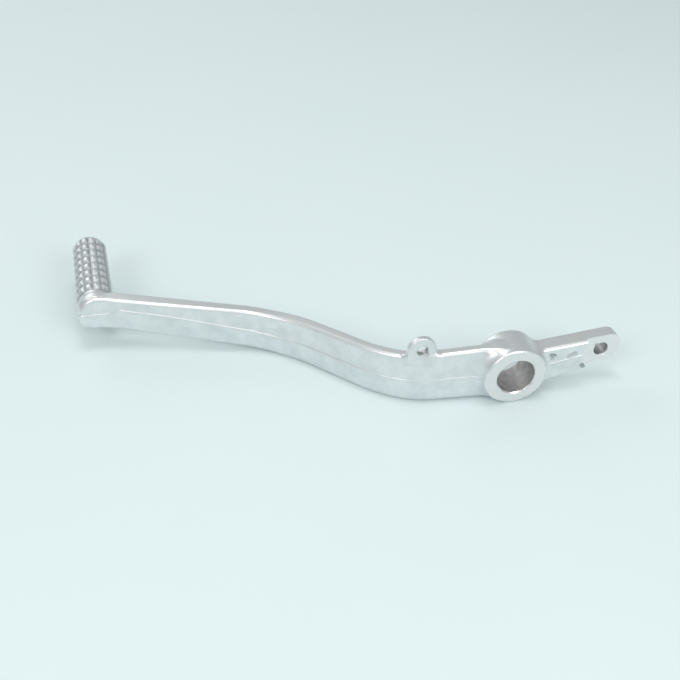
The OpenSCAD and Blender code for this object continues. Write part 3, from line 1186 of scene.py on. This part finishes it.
    def _zones(self, middle: Array, normal: Array) -> NDArray[np.int32]:
        """Sorts faces into zones by where they lie and which way they face.

        Args:
            middle: Middle of each face, in millimetres.
            normal: Outward normal of each face.

        Returns:
            The zone's number for each face.
        """
        x, y, z = middle.T
        hub, rear, lug = self.hub, self.rear, self.lug
        share = np.abs(normal[:, 1])
        from_bore = np.hypot(x, z)
        bore = hub.bore_d / 2.0
        zone = np.full(len(middle), Zone.CAST.value, dtype=np.int32)
        on_end = (np.abs(np.abs(y) - hub.half) < self.end_touch) & (from_bore < hub.radius)
        zone[on_end & (share > self.flat_share)] = Zone.TURNED.value
        in_mouth = from_bore < bore + hub.bore_chamfer + self.touch
        mouth = in_mouth & (from_bore > bore - self.mouth_depth) & (np.abs(y) < hub.half)
        zone[mouth & (share < self.flat_share)] = Zone.TURNED.value
        zone[(from_bore < bore + self.touch) & (share < self.steep_share)] = Zone.BORE.value
        step_from, step_to = rear.step_span
        on_tongue = (np.abs(y - rear.milled_y) < self.touch) & (normal[:, 1] < -self.milled_share)
        zone[(x > step_from) & on_tongue] = Zone.MILLED.value
        off_path = np.abs(np.hypot(x - rear.mill_x, z - rear.clevis_z) - rear.cutter_r)
        on_path = (x > step_from) & (x < step_to) & (off_path < self.path_touch)
        zone[on_path] = Zone.MILLED.value
        for cx, cz, diameter in (
            (rear.clevis_x, rear.clevis_z, rear.clevis_d),
            (lug.centre[0], lug.centre[2], lug.hole_d),
        ):
            wide = diameter / 2.0 + MOUTH_CHAMFER + self.touch / 2.0
            zone[np.hypot(x - cx, z - cz) < wide] = Zone.DRILLED.value
        return zone

    def build(self, materials: dict[Zone, bpy.types.Material]) -> bpy.types.Object:
        """Makes the pedal: casts it, machines it, adds the studded bar and dresses each zone.

        Args:
            materials: The material of each zone.

        Returns:
            The finished object.
        """
        pedal = bpy.data.objects.new("pedal_casting", self.skin().to_mesh("pedal_skin"))
        bpy.context.collection.objects.link(pedal)
        LOG.info("cast skin: %d quads", len(pedal.data.polygons))
        # The clevis hole meets the mill's path, so it is drilled in a step of its own.
        milled = [self.hub.bore_cutter(), self.rear.milling_cutter(), self.lug.hole_cutter()]
        for cutters in (milled, [self.rear.clevis_cutter()]):
            pedal.data = self._cut(pedal, cutters)
        machined = pedal.data
        count = len(machined.vertices)
        bar = self.peg.studs().joined(self.parting_bead())
        points = np.concatenate([read_rows(machined.vertices, "co", 3), bar.points * MM])
        faces = [tuple(face.vertices) for face in machined.polygons]
        mesh = bpy.data.meshes.new("pedal_casting")
        mesh.from_pydata(points.tolist(), [], faces + (bar.quads + count).tolist())
        mesh.validate()
        pedal.data = mesh
        for zone in Zone:
            mesh.materials.append(materials[zone])
        middle = read_rows(mesh.polygons, "center", 3) / MM
        zones = self._zones(middle, read_rows(mesh.polygons, "normal", 3))
        mesh.polygons.foreach_set("material_index", zones)
        mesh.shade_smooth()
        mesh.set_sharp_from_angle(angle=math.radians(self.sharp_angle))
        self._set_normals(mesh, zones, count)
        self._mark_recesses(mesh, count)
        return pedal

    def _set_normals(self, mesh: bpy.types.Mesh, zones: NDArray[np.int32], count: int) -> None:
        """Gives the corners of the cast faces and the hub's flat ends the form's true normals.

        Args:
            mesh: The whole mesh.
            zones: Zone of each face.
            count: Number of points of the casting's skin, before those of the bar and the beads.
        """
        points = read_rows(mesh.vertices, "co", 3) / MM
        true_normal = self._normal(points)
        corner_point = read_rows(mesh.loops, "vertex_index", kind=np.int64)
        corner_normal = read_rows(mesh.corner_normals, "vector", 3)
        face_corners = read_rows(mesh.polygons, "loop_total", kind=np.int64)
        share = np.abs(read_rows(mesh.polygons, "normal", 3)[:, 1])
        flat_end = (zones == Zone.TURNED.value) & (share > self.flat_share)
        of_the_form = np.repeat(flat_end | (zones == Zone.CAST.value), face_corners)
        on_boss_end = points[corner_point, 1] > self.peg.stud_from - self.boss_end_lap
        use = (corner_point < count) & ~on_boss_end & of_the_form
        normals = np.where(use[:, None], true_normal[corner_point], corner_normal)
        mesh.normals_split_custom_set(normals.tolist())

    def _mark_recesses(self, mesh: bpy.types.Mesh, count: int) -> None:
        """Stores how deep in a recess each point lies, from 0 to 1, for the material.

        Between the studs it is the depth below their tops as a share of their height, and in a
        dent it is the dent's own dull share. The material darkens these places by that share as
        painted shade, and makes them rougher.

        Args:
            mesh: The whole mesh.
            count: Number of points of the casting's skin.
        """
        peg = self.peg
        points = read_rows(mesh.vertices, "co", 3) / MM
        recess = np.zeros(len(points))
        past_boss = points[:, 1] > peg.stud_from - self.bar_lap
        on_bar = (np.arange(len(points)) >= count) & past_boss
        recess[on_bar] = peg.recess(points[on_bar])
        # Each dent darkens the points near it by its dull share as painted shade, and makes them
        # rougher.
        for mark in self.marks:
            near = np.clip(1.0 - mark.distance(points) / self.shade_and_dull_reach, 0.0, 1.0)
            recess = np.maximum(recess, near * mark.dull)
        layer = mesh.attributes.new("recess", "FLOAT", "POINT")
        layer.data.foreach_set("value", recess)
        mesh.update()


def linear(colour: str) -> tuple[float, float, float, float]:
    """Turns an sRGB hex colour, such as #C7CACC, into the linear colour that a socket takes.

    Args:
        colour: The hex colour, with its #.

    Returns:
        Red, green, blue and alpha.
    """
    values = [int(colour[i : i + 2], 16) / 255.0 for i in (1, 3, 5)]
    flat = [v / 12.92 if v <= 0.04045 else ((v + 0.055) / 1.055) ** 2.4 for v in values]
    return flat[0], flat[1], flat[2], 1.0


def per_metre(size_mm: float) -> float:
    """How often a pattern of a size in millimetres fits in a metre, for a texture's scale."""
    return 1.0 / (size_mm * MM)


def add_node(
    tree: bpy.types.NodeTree, kind: str, links: dict[str, object] | None = None, **settings: object
) -> bpy.types.Node:
    """Adds a shader node with its settings and links.

    Args:
        tree: The node tree.
        kind: The node's type name, less the ShaderNode that all of them begin with.
        links: Input name, or its number, to a value or to an output socket that feeds it.
        settings: Properties of the node itself.

    Returns:
        The new node.
    """
    node = tree.nodes.new(f"ShaderNode{kind}")
    for name, value in settings.items():
        setattr(node, name, value)
    for name, value in (links or {}).items():
        socket = node.inputs[int(name)] if name.isdigit() else node.inputs[name]
        if isinstance(value, bpy.types.NodeSocket):
            tree.links.new(value, socket)
        else:
            socket.default_value = value
    return node


def new_material(name: str) -> tuple[bpy.types.Material, bpy.types.NodeTree, bpy.types.NodeSocket]:
    """Makes an empty node material, and returns it with its tree and the place on the piece.

    Args:
        name: Name of the material.

    Returns:
        The material, its tree and the socket that gives the place on the piece.
    """
    material = bpy.data.materials.new(name)
    material.use_nodes = True
    tree = material.node_tree
    tree.nodes.clear()
    return material, tree, add_node(tree, "TexCoord").outputs["Object"]


def end_as_metal(
    tree: bpy.types.NodeTree,
    colour: bpy.types.NodeSocket,
    roughness: bpy.types.NodeSocket | float,
    relief: dict[str, object],
) -> None:
    """Ends a material as bare metal, with a relief on it.

    Args:
        tree: The material's tree.
        colour: The metal's colour.
        roughness: Its roughness, plain or patterned.
        relief: Height, strength and distance of the relief.
    """
    normal = add_node(tree, "Bump", relief).outputs["Normal"]
    look = {"Base Color": colour, "Metallic": 1.0, "Roughness": roughness, "Normal": normal}
    shader = add_node(tree, "BsdfPrincipled", look)
    add_node(tree, "OutputMaterial", {"Surface": shader.outputs[0]})


@dataclass(frozen=True)
class CastAluminium:
    """Cast aluminium alloy, shot-blasted and tumbled bright.

    It gives the eye a pale satin metal: broad soft reflections over a very fine grain, slightly
    uneven brightness in patches, and rougher recesses whose colour is darkened as painted shade.
    The real blast pits are about 0.2 mm wide, too fine to show, so the grain is drawn coarser.
    """

    name: str = "cast aluminium, tumbled"
    colour: str = "#EDEEEF"
    patch_colour: str = "#E1E3E4"
    # Colour that the recesses are darkened towards, as painted shade.
    recess_shade_colour: str = "#B3B7B9"
    roughness: float = 0.39
    roughness_spread: float = 0.05
    recess_roughness: float = 0.5
    grain_mm: float = 0.6
    grain_depth_mm: float = 0.024
    patch_mm: float = 7.0

    def material(self) -> bpy.types.Material:
        """Builds the material: patches of colour and roughness, recesses darkened as painted shade
        and made rougher, and a fine grain.

        A Mix node's sockets share their names, so they are called by number: 0 is the share, 2
        and 3 are the numbers, and 6 and 7 the colours that it mixes.

        Returns:
            The finished material.
        """
        material, tree, place = new_material(self.name)
        recess = add_node(tree, "Attribute", attribute_name="recess").outputs["Fac"]
        noise = {"Vector": place, "Roughness": 0.6}
        clouds = {**noise, "Scale": per_metre(self.patch_mm), "Detail": 5.0}
        patches = add_node(tree, "TexNoise", clouds).outputs["Fac"]
        pits = {**noise, "Scale": per_metre(self.grain_mm), "Detail": 2.0}
        grain = add_node(tree, "TexNoise", pits).outputs["Fac"]
        middling = {"Value": patches, "From Min": 0.35, "From Max": 0.65}
        spread = add_node(tree, "MapRange", middling).outputs[0]
        colours = {"0": spread, "6": linear(self.colour), "7": linear(self.patch_colour)}
        bright = add_node(tree, "Mix", colours, data_type="RGBA").outputs[2]
        # Painted shade: the recess share darkens the colour towards the recess shade colour.
        colours = {"0": recess, "6": bright, "7": linear(self.recess_shade_colour)}
        colour = add_node(tree, "Mix", colours, data_type="RGBA").outputs[2]
        span = {
            "Value": spread,
            "To Min": self.roughness - self.roughness_spread,
            "To Max": self.roughness + self.roughness_spread,
        }
        skin_rough = add_node(tree, "MapRange", span).outputs[0]
        values = {"0": recess, "2": skin_rough, "3": self.recess_roughness}
        rough = add_node(tree, "Mix", values).outputs[0]
        relief = {"Height": grain, "Strength": 0.6, "Distance": self.grain_depth_mm * MM}
        end_as_metal(tree, colour, rough, relief)
        return material


@dataclass(frozen=True)
class CutAluminium:
    """Aluminium alloy as a tool leaves it.

    It gives the eye a flatter and paler metal than the cast skin, with fine marks. A tool's real
    marks are 0.1 to 0.2 mm apart, too fine to show, so they are drawn coarser.
    """

    name: str
    colour: str
    dark_colour: str
    roughness: float
    mark_mm: float
    mark_depth_mm: float
    rings_about: tuple[float, float] | None = None
    cloud_mm: float = 3.0

    def _marks(self, tree: bpy.types.NodeTree, place: bpy.types.NodeSocket) -> bpy.types.NodeSocket:
        """Draws the tool's marks: a sine of the distance from an axis along Y, or a plain grain.

        Args:
            tree: The material's tree.
            place: The place on the piece.

        Returns:
            The height of the marks.
        """
        if self.rings_about is None:
            grain = {"Vector": place, "Scale": per_metre(self.mark_mm), "Detail": 3.0}
            return add_node(tree, "TexNoise", grain).outputs["Fac"]
        x, z = self.rings_about
        way = {"0": place, "1": (x * MM, 0.0, z * MM)}
        way = {"0": add_node(tree, "VectorMath", way, operation="SUBTRACT").outputs[0]}
        way["1"] = (1.0, 0.0, 1.0)
        flat = {"0": add_node(tree, "VectorMath", way, operation="MULTIPLY").outputs[0]}
        length = add_node(tree, "VectorMath", flat, operation="LENGTH").outputs["Value"]
        turns = {"0": length, "1": math.tau * per_metre(self.mark_mm)}
        phase = {"0": add_node(tree, "Math", turns, operation="MULTIPLY").outputs[0]}
        return add_node(tree, "Math", phase, operation="SINE").outputs[0]

    def material(self) -> bpy.types.Material:
        """Builds the material: two close shades in clouds, under the tool's marks.

        Returns:
            The finished material.
        """
        material, tree, place = new_material(self.name)
        cloud = {"Vector": place, "Scale": per_metre(self.cloud_mm), "Detail": 4.0}
        share = add_node(tree, "TexNoise", {**cloud, "Roughness": 0.6}).outputs["Fac"]
        colours = {"0": share, "6": linear(self.colour), "7": linear(self.dark_colour)}
        colour = add_node(tree, "Mix", colours, data_type="RGBA").outputs[2]
        marks = self._marks(tree, place)
        relief = {"Height": marks, "Strength": 0.5, "Distance": self.mark_depth_mm * MM}
        end_as_metal(tree, colour, self.roughness, relief)
        return material


def casting_finishes(rear: RearArm) -> dict[Zone, bpy.types.Material]:
    """Makes the material of each zone of the casting.

    Args:
        rear: The rear arm, whose clevis hole the mill's marks go round.

    Returns:
        The material of each zone.
    """
    clevis = (rear.clevis_x, rear.clevis_z)
    finishes = {
        Zone.CAST: CastAluminium(),
        # Faced on a lathe: fine rings about the bore, and the brightest of the flats.
        Zone.TURNED: CutAluminium(
            "turned aluminium, hub ends", "#F3F0EF", "#E8E6E5", 0.26, 0.35, 0.002, (0.0, 0.0)
        ),
        # Bored and left rough: a dull wall with dark clouds.
        Zone.BORE: CutAluminium("bored aluminium, dull", "#E2E0DF", "#8C8887", 0.6, 1.1, 0.06),
        # Cut by an end mill: bright, with fine rings about the clevis hole.
        Zone.MILLED: CutAluminium(
            "milled aluminium, tongue", "#F6F4F3", "#ECEAEA", 0.28, 0.4, 0.002, clevis
        ),
        # Drilled: short walls with uneven marks, in mottled grey clouds that are darkened overall
        # as painted shade inside the holes.
        Zone.DRILLED: CutAluminium(
            "drilled aluminium, holes", "#D6D6D6", "#8F9091", 0.46, 0.5, 0.03
        ),
    }
    return {zone: finish.material() for zone, finish in finishes.items()}


@dataclass(frozen=True)
class SoftLamp:
    """A soft rectangular lamp that is aimed at the middle of the pedal."""

    name: str
    place: Point
    size: tuple[float, float]
    power: float

    def build(self, target: Point) -> None:
        """Makes the lamp and turns it towards the target.

        Args:
            target: The point that it looks at.
        """
        data = bpy.data.lights.new(self.name, "AREA")
        data.shape = "RECTANGLE"
        data.size, data.size_y = self.size
        data.energy = self.power
        lamp = bpy.data.objects.new(self.name, data)
        bpy.context.collection.objects.link(lamp)
        lamp.location = self.place
        x, y, z = np.array(target) - np.array(self.place)
        lamp.rotation_euler = (math.atan2(math.hypot(x, y), -z), 0.0, math.atan2(x, -y) + math.pi)


@dataclass(frozen=True)
class Studio:
    """The pale table, the room's soft light, the lamps and the camera, in metres."""

    floor_z: float = -0.014
    floor_size: float = 12.0
    floor_colour: str = "#E1ECED"
    floor_cloud_colour: str = "#DCE8E9"
    floor_cloud_mm: float = 500.0 / 3.0
    room_colour: str = "#F1F8F8"
    room_strength: float = 0.56
    target: Point = (-0.07, 0.03, 0.0)
    camera_place: Point = (-0.14837, -0.31451, 0.27415)
    camera_turn: Point = (52.592, 0.0, -12.942)
    lens_mm: float = 52.94
    sensor_mm: float = 36.0
    lamps: tuple[SoftLamp, ...] = (
        SoftLamp("front right lamp", (0.34, -0.86, 0.68), (0.5, 0.5), 3.6),
        SoftLamp("front left lamp", (-0.80, -0.66, 0.85), (0.55, 0.55), 3.6),
        SoftLamp("overhead softbox", (-0.05, 0.05, 1.2), (0.5, 0.35), 3.0),
        SoftLamp("rear left softbox", (-0.58, 0.92, 0.66), (0.8, 0.5), 1.7),
    )

    def _laminate(self) -> bpy.types.Material:
        """Builds the table's pale matt laminate: flat, even, with hardly any gloss or cloud.

        Returns:
            The finished material.
        """
        material, tree, place = new_material("pale matt laminate")
        cloud = {"Vector": place, "Scale": per_metre(self.floor_cloud_mm), "Detail": 3.0}
        share = add_node(tree, "TexNoise", cloud).outputs["Fac"]
        colours = {
            "0": share,
            "6": linear(self.floor_colour),
            "7": linear(self.floor_cloud_colour),
        }
        colour = add_node(tree, "Mix", colours, data_type="RGBA").outputs[2]
        look = {"Base Color": colour, "Roughness": 0.6, "Specular IOR Level": 0.3}
        shader = add_node(tree, "BsdfPrincipled", look)
        add_node(tree, "OutputMaterial", {"Surface": shader.outputs[0]})
        return material

    def build_floor(self) -> None:
        """Makes the table top, a wide flat sheet."""
        half = self.floor_size / 2.0
        mesh = bpy.data.meshes.new("table_top")
        corners = [(-half, -half), (half, -half), (half, half), (-half, half)]
        mesh.from_pydata([(a, b, self.floor_z) for a, b in corners], [], [(0, 1, 2, 3)])
        floor = bpy.data.objects.new("table_top", mesh)
        bpy.context.collection.objects.link(floor)
        mesh.materials.append(self._laminate())

    def build_room(self) -> None:
        """Sets the world to an even pale light, and the view transform to Standard."""
        world = bpy.data.worlds.new("pale room")
        bpy.context.scene.world = world
        world.use_nodes = True
        background = world.node_tree.nodes["Background"]
        background.inputs["Color"].default_value = linear(self.room_colour)
        background.inputs["Strength"].default_value = self.room_strength
        bpy.context.scene.view_settings.view_transform = "Standard"

    def build_camera(self) -> None:
        """Makes the camera at the photograph's viewing angle and makes it the scene's camera."""
        data = bpy.data.cameras.new("photo_camera")
        data.lens = self.lens_mm
        data.sensor_width = self.sensor_mm
        camera = bpy.data.objects.new("photo_camera", data)
        bpy.context.collection.objects.link(camera)
        camera.location = self.camera_place
        camera.rotation_euler = tuple(math.radians(turn) for turn in self.camera_turn)
        bpy.context.scene.camera = camera

    def build(self) -> None:
        """Builds the camera, the room, the lamps and the table."""
        self.build_camera()
        self.build_room()
        for lamp in self.lamps:
            lamp.build(self.target)
            LOG.info("lamp %s", lamp.name)
        self.build_floor()


def main() -> None:
    """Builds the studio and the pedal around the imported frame."""
    Studio().build()
    casting = Casting()
    pedal = casting.build(casting_finishes(casting.rear))
    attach(pedal, "root")
    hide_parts("brake_pedal")
    LOG.info("piece %s: %d faces", pedal.name, len(pedal.data.polygons))


if __name__ == "__main__":
    logging.basicConfig(level=logging.INFO, format="%(name)s: %(message)s")
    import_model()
    main()
